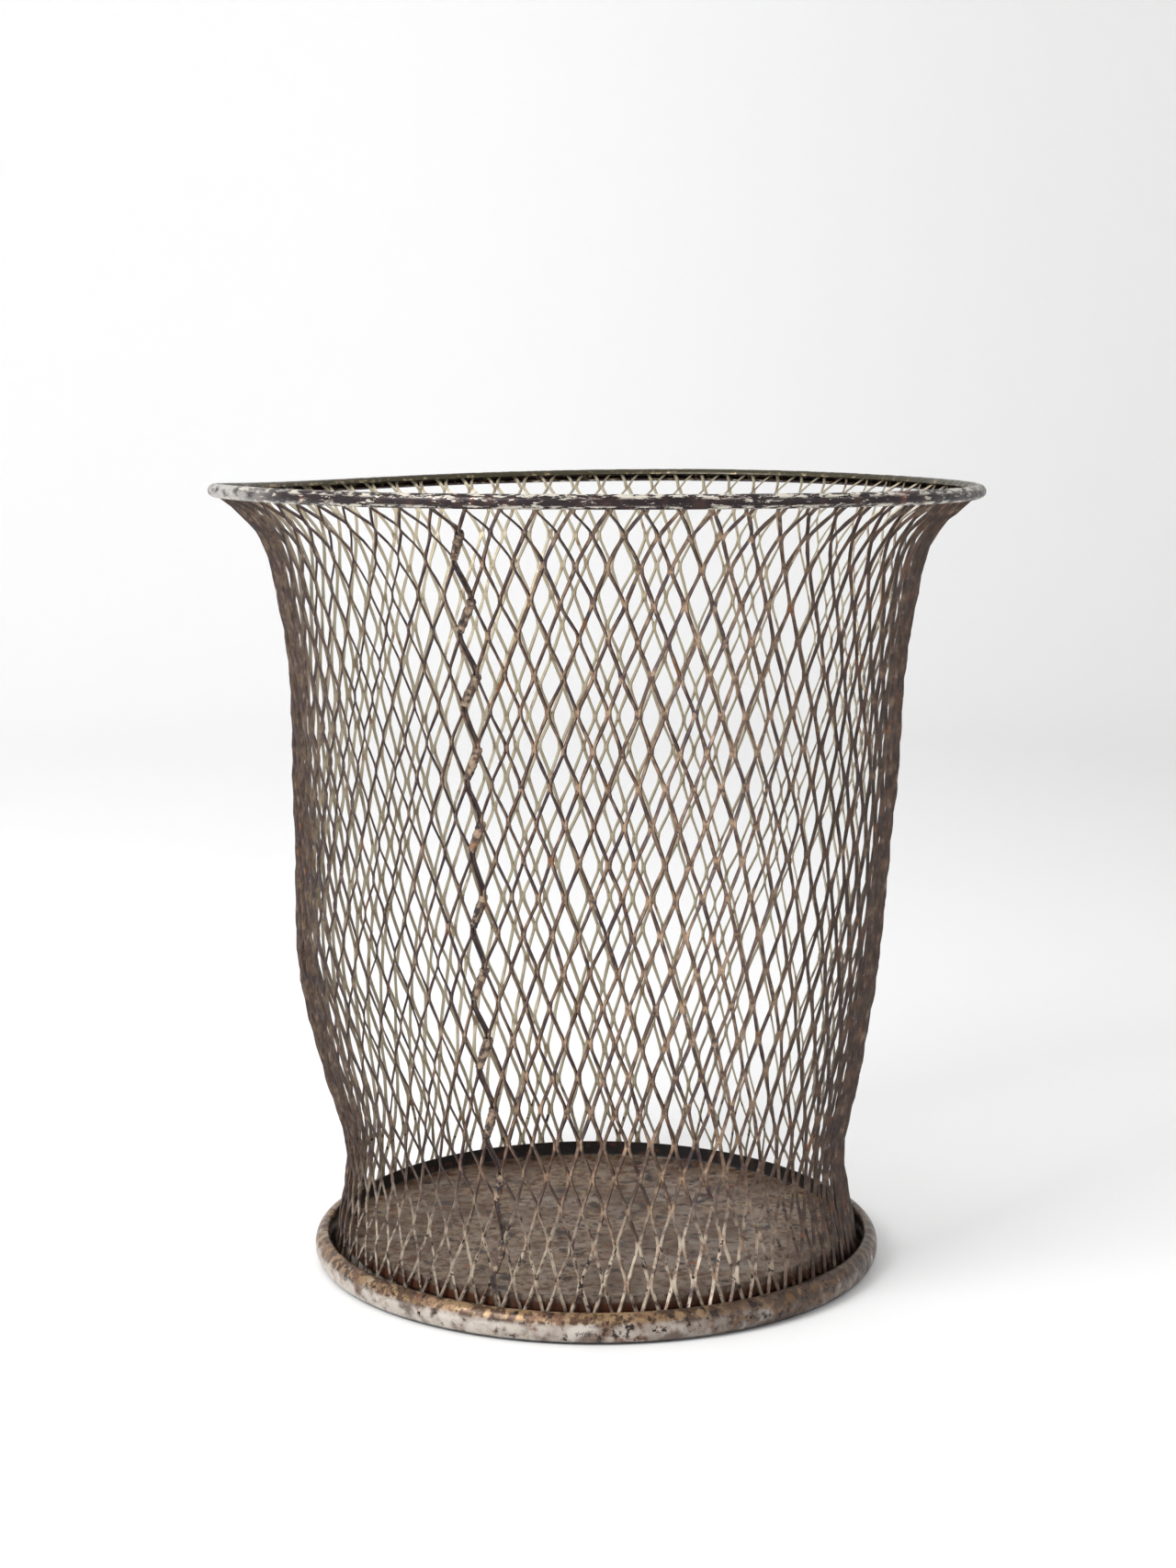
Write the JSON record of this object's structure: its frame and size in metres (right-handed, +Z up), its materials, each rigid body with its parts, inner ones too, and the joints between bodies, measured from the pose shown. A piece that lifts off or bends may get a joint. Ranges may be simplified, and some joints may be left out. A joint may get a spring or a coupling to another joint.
{
  "type": "wire basket",
  "caption": "Flared round basket of expanded steel mesh with a rolled rim, a crimped seam, and a raised base pan carried in a rolled base bead.",
  "frame": {"origin": "centre of the base, on the surface the basket stands on", "axes": "+Z up along the basket's axis, -Y towards the front, where the seam is a little to the left (-X) of the middle"},
  "size_m": [0.3446, 0.3446, 0.3559],
  "materials": {
    "mesh_steel": "worn grey-brown, oxidised",
    "clip_steel": "worn, dark at the ends",
    "rim_steel": "dark brown, chipped to bare metal",
    "pan_steel": "stained dark brown with rust",
    "bead_steel": "dull silver with rust along the top"
  },
  "bodies": {
    "root": {"mesh_body": "mesh_steel", "rim_tube": "rim_steel", "base_pan": "pan_steel", "base_bead": "bead_steel", "seam_clip_01": "clip_steel", "seam_clip_02": "clip_steel", "seam_clip_03": "clip_steel", "seam_clip_04": "clip_steel", "seam_clip_05": "clip_steel", "seam_clip_06": "clip_steel", "seam_clip_07": "clip_steel", "seam_clip_08": "clip_steel", "seam_clip_09": "clip_steel", "seam_clip_10": "clip_steel", "seam_clip_11": "clip_steel"}
  },
  "joints": []
}
